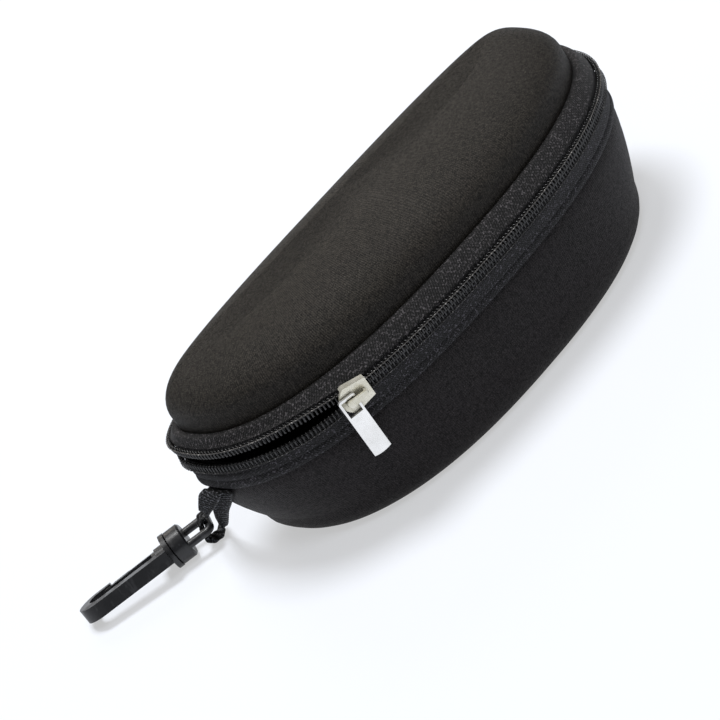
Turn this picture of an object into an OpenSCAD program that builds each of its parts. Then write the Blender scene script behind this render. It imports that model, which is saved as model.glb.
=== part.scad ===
// Moulded eyeglasses case: two padded half shells closed by a coil zip,
// hinged on a fabric strip along the straight back, with a webbing loop and a
// plastic swivel snap hook on the left end.
// X runs along the case, -Y is the bowed front, +Z is up, the floor is z = 0.
// The origin lies on the floor at mid length, below the widest line of the case.
// Millimetres.

/* [Case outline] */
// Length of the case over the zip
case_l = 163; // [150:1:180]
// Depth from the widest line to the front of the zip
front_d = 47.7; // [42:0.1:54]
// Depth from the widest line to the back of the zip
back_d = 26.6; // [24:0.1:30]
// Height of the zip line above the floor
rim_h = 39.1; // [37:0.1:45]
// Squareness of the bowed front, 2 is an ellipse
front_n = 2.4; // [2.2:0.05:2.8]
// Squareness of the back corners
back_n = 2.35; // [2.3:0.05:2.6]

/* [Base shell] */
// Height of the rounded bottom edge
heel_h = 3.8; // [3:0.1:5]
// Bottom edge inside the zip line: ends, front, back
heel_in = [11.8, 1.1, 7.9]; // [0:0.1:20]
// Flat foot inside the bottom edge: ends, front, back
foot_in = [4.8, 3.8, 3.2]; // [1:0.1:6]
// Swell of the wall half way up: ends, front, back
wall_swell = [1.6, 0.4, 0.6]; // [0:0.1:2]
// Height of the lower seam, where the tape is sewn on
low_seam_h = 28.7; // [27:0.1:30]
// Lower seam inside the zip line: ends, front, back
low_seam_in = [0.1, 3.1, 5.6]; // [0:0.1:8]
// Height of the base shell's rim, under the tape
base_rim_h = 32.6; // [32:0.1:33]

/* [Lid shell] */
// Height of the upper seam above the zip line
high_seam_up = 6.4; // [6:0.1:8]
// Upper seam inside the zip line: ends, front, back
high_seam_in = [2.3, 4.8, 7.0]; // [0:0.1:9]
// Step from the upper seam in to the foot of the dome
dome_step = 2; // [1.5:0.1:3]
// Rise of the dome above the upper seam
dome_h = 14.8; // [13:0.1:22]
// Height of the rounded part of the dome
dome_round_h = 11; // [9:0.1:12.5]
// Run of the rounded part of the dome: ends, front, back
dome_round_in = [17.5, 28.6, 16.6]; // [14:0.1:34]

/* [Layers] */
// Thickness of the outer knit cover
cover_t = 0.8; // [0.6:0.1:1.2]
// Thickness of the moulded foam
foam_t = 3; // [2:0.1:4]
// Thickness of the plush lining
lining_t = 0.7; // [0.5:0.1:1.2]
// Thickness of the binding over each rim
binding_t = 0.6; // [0.4:0.1:1]
// Width of the binding down the inside of each rim
binding_w = 5; // [3:0.5:7]

/* [Zip] */
// Thickness of the woven tape
tape_t = 0.6; // [0.4:0.1:0.7]
// Pitch of the coil
coil_pitch = 1.2; // [1:0.1:1.5]
// Width of the closed coil
coil_w = 4.3; // [4:0.1:4.6]
// Thickness of the coil
coil_t = 1.4; // [1.2:0.1:1.5]
// How far the two rows of teeth reach past each other
tooth_mesh = 0.9; // [0.7:0.1:1]
// Shift of each row where the zip is open
open_shift = 2.3; // [1.6:0.1:2.4]
// Slider's place along the zip, 0 at the middle of the front
slider_at = -50.8; // [-52:0.2:40]
// Where the zip ends on the back, measured from the middle
zip_end_x = 62; // [58:1:66]

/* [Slider and pull] */
// Length of the slider
slider_l = 9; // [8.4:0.1:9.4]
// Width of the slider's mouth
slider_w = 8; // [7.8:0.1:8.6]
// Length of the pull tab
pull_l = 19; // [14:0.5:24]
// Width of the pull tab
pull_w = 5.2; // [5.2:0.1:6.4]
// Thickness of the pull tab
pull_t = 0.9; // [0.7:0.1:1]

/* [Strap and hook] */
// Width of the webbing
strap_w = 9.6; // [8:0.2:11]
// Thickness of the webbing
strap_t = 1.1; // [0.8:0.1:1.2]
// Length of the hook past its collar
hook_l = 31; // [29:0.5:36]
// Width of the hook
hook_w = 12.8; // [12.6:0.1:15]
// Thickness of the hook's spine
hook_t = 4.2; // [3.6:0.1:4.6]
// Radius of the swivel barrel
barrel_r = 5.2; // [5:0.1:6]
// Radius of the eye's bar
eye_bar_r = 1.2; // [1:0.1:1.4]

/* [Hidden] */
$fn = 48;

// ---- Outlines: [half length, front depth, back depth, front squareness, back squareness]
rim = [case_l / 2, front_d, back_d, front_n, back_n];
low_seam = inside(rim, low_seam_in);
heel = inside(rim, heel_in);
foot = inside(heel, foot_in);
high_seam = inside(rim, high_seam_in);
high_seam_h = rim_h + high_seam_up;

function inside(o, v) = [o[0] - v[0], o[1] - v[1], o[2] - v[2], o[3], o[4]];
function shrink(o, d) = [max(o[0] - d, 1), max(o[1] - d, 1), max(o[2] - d, 1), o[3], o[4]];
function between(p, q, w) = p * (1 - w) + q * w;

// Point of an outline at angle t, which is 0 at the right end and -90 at the front
function edge(o, t) =
    let (front = sin(t) < 0,
         e = 2 / (front ? o[3] : o[4]),
         d = front ? o[1] : o[2])
    [o[0] * sign(cos(t)) * pow(abs(cos(t)), e), d * sign(sin(t)) * pow(abs(sin(t)), e)];
function lift(o, t, z) = [edge(o, t)[0], edge(o, t)[1], z];

// Outer outline of the base wall and of the band at height z
function wall(z) =
    z < heel_h ? between(foot, heel, z / heel_h) :
    z < low_seam_h ? let (w = (z - heel_h) / (low_seam_h - heel_h))
        inside(between(heel, low_seam, w), -4 * w * (1 - w) * wall_swell) :
    z < rim_h ? between(low_seam, rim, (z - low_seam_h) / (rim_h - low_seam_h)) :
    between(rim, high_seam, (z - rim_h) / high_seam_up);

// Outer outline of the dome where its rounded part has turned by angle a
function dome(a) =
    let (o = inside(high_seam, [dome_step, dome_step, dome_step] + dome_round_in * (1 - cos(a))))
    [o[0], o[1], max(o[2], 1), front_n + 0.4 * sin(a), back_n + 0.45 * sin(a)];
function dome_z(a) = high_seam_h + dome_h - dome_round_h * (1 - sin(a));

// ---- Distance along the zip line, from the middle of the front
// The steps are finer near the ends and the middles, where the outline runs fast in t.
fine_t = concat([for (q = [-180:90:90], i = [0:89]) q + 45 * (1 - cos(2 * i))], [180]);
fine = [for (t = fine_t) edge(rim, t)];
fine_len = [for (i = [0:359]) norm(fine[i + 1] - fine[i])];
run = [for (i = 0, s = 0; i <= 360; s = s + (i < 360 ? fine_len[i] : 0), i = i + 1) s];
rim_len = run[360];
run_to_t = [for (i = [0:360]) [run[i], fine_t[i]]];
run_front = run[90];
function t_at(s) = lookup((s + run_front + rim_len) % rim_len, run_to_t);
function heading(s) =
    let (d = edge(rim, t_at(s + 0.5)) - edge(rim, t_at(s - 0.5)))
    atan2(d[1], d[0]);

// Length of the zip from the middle of the front to either end
zip_end_t = acos(pow(zip_end_x / rim[0], back_n / 2));
zip_half = lookup(zip_end_t, [for (i = [0:360]) [fine_t[i], run[i]]]) - run_front;

// How far each half of the zip stands off the zip line, station s
mouth_shift = 1.2;
opening = [[-16, open_shift], [-9, open_shift * 0.85], [-slider_l / 2, mouth_shift],
           [-2.5, 0.75], [-0.8, 0.15], [0.2, 0]];
function apart(s) =
    lookup(s - slider_at, opening) * lookup(s, [[-zip_half, 0.2], [-zip_half + 25, 1]]);

// ---- Lofts
ring_n = 56;
ring_t = [for (i = [0:ring_n - 1]) t_at(i / ring_n * rim_len)];
function ring(o, z) = [for (t = ring_t) lift(o, t, z)];
function flat(v) = [for (a = v, b = a) b];

// Closed solid through full rings, up one side of a shell and down the other. Each face
// is split the same way on both sides, so neighbouring layers lie parallel.
module capped(rings) {
    m = len(rings);
    n = len(rings[0]);
    polyhedron(flat(rings), concat(
        [[for (i = [n - 1:-1:0]) i]],
        [for (j = [0:m - 2], i = [0:n - 1], half = [0, 1])
            let (a = j * n + i, b = j * n + (i + 1) % n, c = b + n, d = a + n)
            j < m / 2 - 1 ? (half == 0 ? [a, b, c] : [a, c, d]) : (half == 0 ? [a, b, d] : [b, c, d])],
        [[for (i = [0:n - 1]) (m - 1) * n + i]]));
}

// Closed hoop through full rings, the last joined to the first
module hoop(rings) {
    m = len(rings);
    n = len(rings[0]);
    polyhedron(flat(rings), [for (j = [0:m - 1], i = [0:n - 1])
        [j * n + i, j * n + (i + 1) % n, ((j + 1) % m) * n + (i + 1) % n, ((j + 1) % m) * n + i]]);
}

// Open strip through a row of equal sections, each one face and back again
module strip(sections) {
    m = len(sections);
    n = len(sections[0]);
    end = (m - 1) * n;
    polyhedron(flat(sections), concat(
        [for (i = [0:n / 2 - 2], half = [0, 1])
            half == 0 ? [i, i + 1, n - 2 - i] : [i, n - 2 - i, n - 1 - i]],
        [for (j = [0:m - 2], i = [0:n - 1], half = [0, 1])
            let (a = j * n + i, b = a + n, c = (j + 1) * n + (i + 1) % n, d = c - n)
            half == 0 ? [a, b, c] : [a, c, d]],
        [for (i = [0:n / 2 - 2], half = [0, 1])
            half == 0 ? [end + n - 2 - i, end + i + 1, end + i] : [end + n - 1 - i, end + n - 2 - i, end + i]]));
}

// ---- Padded shells
shell_t = cover_t + foam_t + lining_t;
under_tape = tape_t + 0.15;
layer_gap = 0.03;
base_levels = [base_rim_h, low_seam_h, 16, heel_h];
// Surface of the base at depth d inside the outline, from the rim down to the foot
function base_side(d) = concat(
    [for (z = base_levels) ring(shrink(wall(z), under_tape + d), z)],
    [ring(shrink(between(foot, heel, 0.45), under_tape + d * 0.8), 0.9 + d * 0.8)],
    [ring(shrink(foot, under_tape + d * 0.6), d)]);
function turned(v) = [for (i = [len(v) - 1:-1:0]) v[i]];

module base_layer(d0, d1) {
    capped(concat(turned(base_side(d1)), base_side(d0)));
}

dome_steps = [0, 20, 38, 56, 74];
lid_rim_h = high_seam_h - 1.2;
// Surface of the lid at depth d inside the dome, from the crown down to the rim
function lid_side(d) = concat(
    [ring(shrink(dome(90), d * 0.3), dome_z(90) - d)],
    [for (a = turned(dome_steps)) ring(shrink(dome(a), d * cos(a * 0.7)), dome_z(a) - d * sin(a))],
    [ring(shrink(dome(0), d), lid_rim_h)]);

module lid_layer(d0, d1) {
    capped(concat(lid_side(d0), turned(lid_side(d1))));
}

module base_cover() {
    color("#2b2a2e") base_layer(0, cover_t);
}

module base_foam() {
    color("#1d1d1f") base_layer(cover_t + layer_gap, cover_t + foam_t);
}

module base_lining() {
    color("#3a3a3d") base_layer(cover_t + foam_t + layer_gap, shell_t);
}

module lid_cover() {
    color("#3d3b3d") lid_layer(0, cover_t);
}

module lid_foam() {
    color("#1d1d1f") lid_layer(cover_t + layer_gap, cover_t + foam_t);
}

module lid_lining() {
    color("#3a3a3d") lid_layer(cover_t + foam_t + layer_gap, shell_t);
}

// Binding folded over a rim and down the inside of the lining
bound_in = shell_t + 0.2;
binding_in = bound_in + binding_t;
module base_binding() {
    top = base_rim_h + binding_t;
    low = base_rim_h - binding_w;
    bend = max(low_seam_h, low + 0.4);
    d = under_tape;
    color("#242427") hoop([
        ring(shrink(wall(base_rim_h), d), top),
        ring(shrink(wall(base_rim_h), d), base_rim_h),
        ring(shrink(wall(base_rim_h), d + bound_in), base_rim_h),
        ring(shrink(wall(bend), d + bound_in), bend),
        ring(shrink(wall(low), d + bound_in), low),
        ring(shrink(wall(low), d + binding_in), low),
        ring(shrink(wall(bend), d + binding_in), bend),
        ring(shrink(wall(base_rim_h), d + binding_in), top)]);
}

module lid_binding() {
    high = dome_z(0);
    low = lid_rim_h - binding_t;
    color("#242427") hoop([
        ring(shrink(dome(0), bound_in), high),
        ring(shrink(dome(0), bound_in), lid_rim_h),
        ring(dome(0), lid_rim_h),
        ring(dome(0), low),
        ring(shrink(dome(0), binding_in), low),
        ring(shrink(dome(0), binding_in), high)]);
}

// ---- Zip tapes: each section point is [outline, inset, height]
tape_in = coil_t / 2 + 0.03;
tape_edge = 0.3;
tape_flat = 3;
station_n = 72;
stations = [for (i = [0:station_n]) -zip_half + 2 * zip_half * i / station_n];
function section(points, s) = [for (p = points) lift(shrink(p[0], p[1]), t_at(s), p[2])];
function tape_face(points, d) = [for (p = points) [p[0], p[1] + d, p[2]]];
function tape_section(points) = concat(points, turned(tape_face(points, tape_t)));

// Lower tape: down behind the coil, round the bound rim, then down to the seam
over_rim_h = base_rim_h + binding_t + 0.1;
function lower_tape_points(g) = [
    [rim, tape_in, rim_h - tape_edge - g],
    [rim, tape_in, rim_h - tape_flat - g * 0.7],
    [wall(over_rim_h), 0, over_rim_h],
    [low_seam, 0, low_seam_h]];

function upper_tape_points(g) = [
    [rim, tape_in, rim_h + tape_flat + g * 0.7],
    [rim, tape_in, rim_h + tape_edge + g]];

// Upper tape: up behind the coil, in to the seam, then under the foot of the dome
function upper_tape_section(g) =
    let (f = upper_tape_points(g), lip = dome_step - 0.15)
    concat([[high_seam, lip, high_seam_h], [high_seam, 0, high_seam_h]], f,
           turned(tape_face(f, tape_t)),
           [[high_seam, tape_t, high_seam_h - tape_t], [high_seam, lip, high_seam_h - tape_t]]);

module lower_tape() {
    color("#333235") strip([for (s = stations) section(tape_section(lower_tape_points(apart(s))), s)]);
}

module upper_tape() {
    color("#3a393b") strip([for (s = stations) section(upper_tape_section(apart(s)), s)]);
}

// ---- Coil: a row of flat loops with round heads that mesh with the other row
tooth_l = (coil_w + tooth_mesh) / 2;
leg_w = 0.4;
head_r = 0.28;
tooth_n = floor((2 * zip_half - 6) / coil_pitch);

// Places its children on the zip line: +x along the zip, +y up, +z outward
module on_zip(s, z) {
    p = edge(rim, t_at(s));
    translate([p[0], p[1], z]) rotate([90, 0, heading(s)]) children();
}

module tooth() {
    linear_extrude(coil_t - 0.04) {
        translate([-leg_w / 2, head_r]) square([leg_w, tooth_l - head_r]);
        translate([0, head_r]) circle(head_r);
    }
}

// up is 1 for the upper row and -1 for the lower row
module coil_row(up) {
    for (i = [0:tooth_n - 1]) {
        s = -zip_half + 3 + (i + 0.5 + up / 4) * coil_pitch;
        on_zip(s, rim_h + up * (apart(s) - tooth_mesh / 2))
            rotate(up > 0 ? 0 : 180) translate([0, 0, -coil_t / 2 + 0.04]) tooth();
    }
}

module lower_coil() {
    color("#1a1a1c") coil_row(-1);
}

module upper_coil() {
    color("#1a1a1c") coil_row(1);
}

// Chain stitch over the backs of the loops, which holds the row on its tape
stitch_t = 0.25;
module stitching(up) {
    near = tooth_l - tooth_mesh / 2 - 0.9;
    far = near + 0.75;
    out = coil_t / 2 + 0.17;
    strip([for (i = [1:station_n - 1])
        let (s = stations[i], z0 = rim_h + up * apart(s), a = up > 0 ? far : -near, b = up > 0 ? near : -far)
        [for (q = [[out + stitch_t, a], [out + stitch_t, b], [out, b], [out, a]])
            lift(shrink(rim, -q[0]), t_at(s), z0 + q[1])]]);
}

module lower_stitching() {
    color("#6e6c70") stitching(-1);
}

module upper_stitching() {
    color("#6e6c70") stitching(1);
}

// ---- Stops at the ends of the zip
stop_l = 2.4;
stop_gap = 0.04;
module stop(w) {
    translate([-stop_l / 2, -w / 2, -tape_in + stop_gap]) linear_extrude(coil_t) {
        translate([0.5, 0]) square([stop_l - 1, w]);
        translate([0, 0.5]) square([stop_l, w - 1]);
        for (x = [0.5, stop_l - 0.5], y = [0.5, w - 0.5]) translate([x, y]) circle(0.5);
    }
}

module closed_end_stop() {
    color("#1a1a1c") on_zip(zip_half - 1.5, rim_h) stop(coil_w + 0.6);
}

end_stop_at = 1.5 - zip_half;
end_stop_w = 2.4;
module end_stop(up) {
    on_zip(end_stop_at, rim_h + up * (apart(end_stop_at) + end_stop_w / 2 + 0.15)) stop(end_stop_w);
}

module lower_end_stop() {
    color("#1a1a1c") end_stop(-1);
}

module upper_end_stop() {
    color("#1a1a1c") end_stop(1);
}

// ---- Fabric hinge along the straight back
hinge_n = 30;
hinge_from = zip_half + 0.9;
hinge_to = rim_len - zip_half - 0.9;
hinge_stations = [for (i = [0:hinge_n]) hinge_from + (hinge_to - hinge_from) * i / hinge_n];

module hinge_strip() {
    lip = dome_step - 0.15;
    face = [[high_seam, 0, high_seam_h], [rim, 0.1, rim_h], [low_seam, 0, low_seam_h]];
    points = concat([[high_seam, lip, high_seam_h]], face, turned(tape_face(face, tape_t)),
                    [[high_seam, lip, high_seam_h - tape_t]]);
    tucked = [for (i = [0:len(points) - 1]) i == 6 ? [high_seam, tape_t, high_seam_h - tape_t] : points[i]];
    color("#2b2a2e") strip([for (s = hinge_stations) section(tucked, s)]);
}

hinge_lining_t = 0.45;
module hinge_lining() {
    base_in = under_tape + binding_in + 0.2;
    lid_in = binding_in + 0.2;
    low = base_rim_h - binding_w;
    bend = max(low_seam_h, low + 0.4);
    face = [[dome(0), lid_in, dome_z(0) - 0.5],
            [dome(0), lid_in, lid_rim_h - binding_t],
            [wall(base_rim_h), base_in, base_rim_h + binding_t],
            [wall(bend), base_in, bend],
            [wall(low), base_in, low]];
    points = concat(face, turned(tape_face(face, hinge_lining_t)));
    color("#242427") strip([for (s = hinge_stations) section(points, s)]);
}

// ---- Slider: two plates joined by the divider, with walls that close in on the coil
// Its parts are drawn with +x along the zip to the closed side, +y up, +z outward.
mouth_x = -slider_l / 2;
shoulder_x = -1.8;
tail_w = coil_w + 1.5;
plate_z = coil_t / 2 + 0.5;
plate_t = 0.9;
inner_plate_t = 0.7;
slot_z = 0.3 - tape_in;
inner_z = -tape_in - tape_t - 0.35;
divider_r = 0.45;
divider_x = mouth_x + 0.8;

module on_slider() {
    on_zip(slider_at, rim_h) children();
}

// Outline of a plate: a round nose at the mouth, narrower at the tail
module shield(nose_w) {
    r = nose_w / 2 + 0.3;
    nose_x = mouth_x + r;
    shoulder = sqrt(r * r - pow(nose_x - shoulder_x, 2));
    tail = min(tail_w / 2, shoulder - 0.4);
    polygon([[shoulder_x, -shoulder], [slider_l / 2, -tail], [slider_l / 2, tail], [shoulder_x, shoulder]]);
    intersection() {
        translate([nose_x, 0]) circle(r);
        translate([mouth_x - 1, -nose_w]) square([shoulder_x - mouth_x + 1, 2 * nose_w]);
    }
}

// Channel for the coil: two rows enter at the mouth and leave meshed at the tail
module channel() {
    wide = slider_w / 2 - 0.6;
    narrow = coil_w / 2 + 0.25;
    polygon([[mouth_x - 1, -wide - 0.4], [shoulder_x, -wide], [0.8, -narrow], [slider_l, -narrow],
             [slider_l, narrow], [0.8, narrow], [shoulder_x, wide], [mouth_x - 1, wide + 0.4]]);
}

module slider_body() {
    color("#d9d7d2") on_slider() {
        translate([0, 0, plate_z]) linear_extrude(plate_t) shield(slider_w);
        translate([0, 0, slot_z]) linear_extrude(plate_z - slot_z) difference() {
            shield(slider_w);
            channel();
        }
        translate([0, 0, inner_z - inner_plate_t]) linear_extrude(inner_plate_t) shield(slider_w - 2.4);
        translate([divider_x, 0, inner_z - 0.1]) cylinder(h = plate_z - inner_z + 0.2, r = divider_r);
    }
}

// ---- Crown: the arch over the outer plate that the pull's eye hangs on
crown_z = plate_z + plate_t;
crown_h = 2.3;
crown_from = -3.2;
crown_to = 3.3;
crown_nose_r = 1;
crown_tail_r = 0.8;
tunnel_h = 1.55;
nose_post = 1.3;
tail_post = 0.9;

module crown_plan() {
    x0 = crown_from + crown_nose_r;
    x1 = crown_to - crown_tail_r;
    polygon([[x0, -crown_nose_r], [x1, -crown_tail_r], [x1, crown_tail_r], [x0, crown_nose_r]]);
    intersection() {
        translate([x0, 0]) circle(crown_nose_r);
        translate([crown_from - 1, -5]) square([x0 - crown_from + 1, 10]);
    }
    intersection() {
        translate([x1, 0]) circle(crown_tail_r);
        translate([x1, -5]) square([5, 10]);
    }
}

// Side view of the arch, with the foot of each post on the plate
module arch(from, to, h, r) {
    translate([from, -1]) square([to - from, h + 1 - r]);
    translate([from + r, 0]) square([to - from - 2 * r, h]);
    for (x = [from + r, to - r]) translate([x, h - r]) circle(r);
}

module slider_crown() {
    color("#d9d7d2") on_slider() translate([0, 0, crown_z]) intersection() {
        linear_extrude(crown_h) crown_plan();
        rotate([90, 0, 0]) linear_extrude(3 * crown_nose_r, center = true) difference() {
            arch(crown_from, crown_to, crown_h, 1.2);
            arch(crown_from + nose_post, crown_to - tail_post, tunnel_h, 0.5);
        }
    }
}

// ---- Pull: a flat tab whose eye goes round the nose post of the crown
pull_x = crown_from + nose_post / 2;
pull_z = crown_z + 0.25;
eye_leg = 0.65;
eye_half = pull_w / 2 - eye_leg;
eye_below = 3.7;
eye_above = 1.3;
pull_round = 9;

module pull_tab() {
    top = eye_above + eye_leg;
    low = top - pull_l;
    color("#efeeea") on_slider() translate([pull_x, 0, pull_z]) linear_extrude(pull_t) difference() {
        intersection() {
            union() {
                translate([-pull_w / 2, low]) square([pull_w, pull_l - 0.8]);
                translate([0.8 - pull_w / 2, 0]) square([pull_w - 1.6, top]);
                for (x = [-1, 1]) translate([x * (pull_w / 2 - 0.8), top - 0.8]) circle(0.8);
            }
            union() {
                translate([0, low + pull_round]) circle(pull_round);
                translate([-pull_w, low + 2]) square([2 * pull_w, pull_l]);
            }
        }
        translate([-eye_half, -eye_below]) square([2 * eye_half, eye_below + eye_above]);
    }
}

// ---- Swivel eye and snap hook, drawn with +x from the eye to the hook's nose
hook_pos = [-88.8, 31.8, 5.55];
hook_yaw = 153;
hook_pitch = 3;
hook_roll = 18;
barrel_l = 4.75;
eye_side = barrel_r - 1.5;
eye_corner_r = 1.6;
eye_bar_x = -12.1;
running = 0.05;
pin_r = 1.85;
collar_r = barrel_r + 0.2;
collar_l = 4.6;

module on_hook() {
    translate(hook_pos) rotate([0, hook_pitch, hook_yaw]) children();
}

module barrel() {
    e = 0.5;
    rotate([0, 90, 0]) rotate_extrude() polygon([[0, -barrel_l - 0.15], [barrel_r - e, -barrel_l - 0.15],
        [barrel_r, e - barrel_l - 0.15], [barrel_r, -0.4], [barrel_r - 0.25, -0.15], [0, -0.15]]);
}

// Round bar bent into a long eye with two corners
module eye() {
    leg_to = eye_bar_x + eye_corner_r;
    for (side = [-1, 1]) {
        translate([leg_to, side * eye_side, 0]) rotate([0, 90, 0]) cylinder(h = -leg_to - 2, r = eye_bar_r);
        translate([leg_to, side * (eye_side - eye_corner_r), 0]) rotate([0, 0, side > 0 ? 90 : 180])
            rotate_extrude(angle = 90) translate([eye_corner_r, 0]) circle(eye_bar_r);
    }
    translate([eye_bar_x, eye_corner_r - eye_side, 0]) rotate([-90, 0, 0])
        cylinder(h = 2 * (eye_side - eye_corner_r), r = eye_bar_r);
}

module swivel_eye() {
    head_r = 2.5;
    color("#17171a") on_hook() {
        barrel();
        eye();
        translate([-1, 0, 0]) rotate([0, 90, 0]) cylinder(h = collar_l + 1.4, r = pin_r);
        translate([collar_l + 0.15, 0, 0]) rotate([0, 90, 0]) cylinder(h = 1.1, r = head_r);
    }
}

nose_r = hook_w / 2;
nose_x = hook_l - nose_r;
spine_w = 3.8;
throat_r = 3.5;
gate_w = 1.1;
gate_root = [collar_l + 0.75, 1.35 - nose_r];
gate_to = nose_x - 2;

// Plan of the hook: neck, spine, and the nose that bends round to the gate
module hook_plan() {
    back_y = nose_r - spine_w;
    translate([1.4, -nose_r + 0.5]) square([collar_l - 1.4, hook_w - 0.5]);
    translate([1.4, back_y]) square([nose_x - 1.4, spine_w]);
    difference() {
        union() {
            intersection() {
                translate([nose_x, 0]) circle(nose_r);
                translate([nose_x, -nose_r]) square([nose_r, hook_w]);
            }
            translate([nose_x - 4, -nose_r]) square([4, nose_r]);
        }
        translate([nose_x - 0.5, back_y - throat_r]) circle(throat_r);
        translate([nose_x - 5, back_y - 2 * throat_r]) square([4.5, 2 * throat_r]);
    }
}

module hook_body() {
    color("#1c1c1f") on_hook() rotate([hook_roll, 0, 0]) difference() {
        union() {
            rotate([0, 90, 0]) cylinder(h = 1.5, r = collar_r);
            linear_extrude(hook_t, center = true) hook_plan();
            translate([1.4, 0, 0]) rotate([0, 90, 0]) cylinder(h = collar_l - 1.4, r = pin_r + 1.3);
        }
        translate([-1, 0, 0]) rotate([0, 90, 0]) cylinder(h = collar_l + 2, r = pin_r + running);
    }
}

// Springy gate: a thin leaf with a ribbed thumb pad, which shuts inside the nose
module hook_gate() {
    tip_out = nose_r - spine_w - 2 * throat_r + 0.25;
    root = gate_root;
    r = gate_w / 2;
    pad = [nose_x - 11, nose_x - 4.6];
    function out(x) = between(root[1] - r, tip_out, (x - root[0]) / (gate_to - root[0]));
    color("#1c1c1f") on_hook() rotate([hook_roll, 0, 0]) linear_extrude(hook_t - 0.8, center = true) {
        translate(root) circle(r);
        polygon([[root[0], root[1] - r], [gate_to, tip_out], [gate_to, tip_out + gate_w],
                 [root[0], root[1] + r]]);
        polygon([[pad[0], out(pad[0])], [pad[0] + 1, out(pad[0]) - 0.5], [pad[1] - 0.4, out(pad[1]) - 0.5],
                 [pad[1], out(pad[1])]]);
        for (i = [0:3]) translate([pad[1] - 1 - i * 0.9, out(pad[1] - 1 - i * 0.9) - 0.5]) circle(0.28);
    }
}

// ---- Webbing loop, sewn under the lower tape and folded through the eye
strap_root = [-82.05, -2.5, low_seam_h - 0.1];
bar = hook_pos + [cos(hook_yaw) * cos(hook_pitch), sin(hook_yaw) * cos(hook_pitch), -sin(hook_pitch)] * eye_bar_x;
along_hook = [cos(hook_yaw), sin(hook_yaw), 0];
along_bar = [-sin(hook_yaw), cos(hook_yaw), 0];
wrap_r = eye_bar_r + 0.3 + strap_t / 2;
// The doubled webbing from the root to above the eye's bar: places of its middle line,
// its half width, the direction of its width, and how far each layer stands off the middle
strap_line = [strap_root, [-82.4, 2.8, 24], [-81.9, 8.8, 19.6], [-80.9, 15, 15.8],
              [-79.5, 20.8, 13], [-78.5, 24.9, 11.2], bar + [0, 0, 3.2]];
strap_half_w = [strap_w * 0.68, strap_w * 0.6, strap_w * 0.54, strap_w * 0.48, strap_w * 0.38, 2.8, 2.2];
strap_across = [[0, 1, 0], [0, 0.96, 0.28], [0.03, 0.88, 0.48], [0.1, 0.85, 0.5], [0.25, 0.87, 0.35],
                [0.38, 0.9, 0.15], -along_bar];
strap_gap = [0.08, 0.12, 0.25, 0.6, 1.25, 1.75, wrap_r - strap_t / 2];
strap_n = 12;

function unit(v) = v / norm(v);
// Smooth curve through the values of a list, u = 0 at the first and 1 apart
function smooth(p, u) =
    let (i = min(floor(u), len(p) - 2), f = u - i,
         a = p[max(i - 1, 0)], b = p[i], c = p[i + 1], d = p[min(i + 2, len(p) - 1)])
    b + f / 2 * ((c - a) + f * ((2 * a - 5 * b + 4 * c - d) + f * (3 * b - a - 3 * c + d)));

// Four corners of the webbing at a point, from its middle, half width and the two directions
function band(c, half, across, out) = [
    c - half * across - strap_t / 2 * out, c + half * across - strap_t / 2 * out,
    c + half * across + strap_t / 2 * out, c - half * across + strap_t / 2 * out];

function strap_layer(side) = [for (i = [0:strap_n])
    let (u = (len(strap_line) - 1) * i / strap_n,
         along = i == 0 || i == strap_n ? [0, 0, -1] :
                 unit(smooth(strap_line, u + 0.2) - smooth(strap_line, u - 0.2)),
         across = unit(smooth(strap_across, u)),
         out = unit(cross(across, along)))
    band(smooth(strap_line, u) + side * (strap_t / 2 + smooth(strap_gap, u)) * out,
         smooth(strap_half_w, u), across, out)];

function strap_wrap() = [for (a = [0:-30:-180])
    let (out = cos(a) * along_hook + [0, 0, sin(a)])
    band(bar + wrap_r * out, 2.2, -along_bar, out)];

module webbing_loop() {
    back = [for (s = turned(strap_layer(-1))) [s[3], s[2], s[1], s[0]]];
    color("#1b1b1e") strip(concat(strap_layer(1), strap_wrap(), back));
}

base_cover();
base_foam();
base_lining();
base_binding();
lower_tape();
lower_coil();
lower_stitching();
lower_end_stop();
closed_end_stop();
hinge_strip();
hinge_lining();
lid_cover();
lid_foam();
lid_lining();
lid_binding();
upper_tape();
upper_coil();
upper_stitching();
upper_end_stop();
slider_body();
slider_crown();
pull_tab();
webbing_loop();
swivel_eye();
hook_body();
hook_gate();
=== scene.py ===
"""Moulded eyeglasses case with a coil zip: the dressed model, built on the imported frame."""
import math

import bpy
import numpy as np
from mathutils import Matrix, Vector


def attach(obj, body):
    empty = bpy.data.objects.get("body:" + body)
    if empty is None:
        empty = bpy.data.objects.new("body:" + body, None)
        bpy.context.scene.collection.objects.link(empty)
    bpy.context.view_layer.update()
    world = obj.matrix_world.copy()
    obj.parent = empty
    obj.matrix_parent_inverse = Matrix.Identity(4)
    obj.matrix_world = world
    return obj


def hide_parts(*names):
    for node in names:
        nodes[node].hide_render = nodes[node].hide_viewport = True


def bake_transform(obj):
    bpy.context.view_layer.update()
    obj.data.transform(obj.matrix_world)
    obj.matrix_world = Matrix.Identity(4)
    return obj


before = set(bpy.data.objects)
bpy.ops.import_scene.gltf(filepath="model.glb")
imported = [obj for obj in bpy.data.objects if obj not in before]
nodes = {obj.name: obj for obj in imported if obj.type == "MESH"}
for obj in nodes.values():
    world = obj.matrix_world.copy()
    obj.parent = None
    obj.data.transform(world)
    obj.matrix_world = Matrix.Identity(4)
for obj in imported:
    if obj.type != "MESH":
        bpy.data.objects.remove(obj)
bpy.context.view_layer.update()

MM = 0.001

# ---------------------------------------------------------------- camera
LENS, SENSOR = 150.65, 36
EYE = Vector((-0.32985, -0.65762, 0.40640))
RIGHT = Vector((0.6212, -0.5910, -0.5146)).normalized()
UP = Vector((0.6896, 0.1004, 0.7172))
UP = (UP - RIGHT * UP.dot(RIGHT)).normalized()
BACK = RIGHT.cross(UP)


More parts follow.
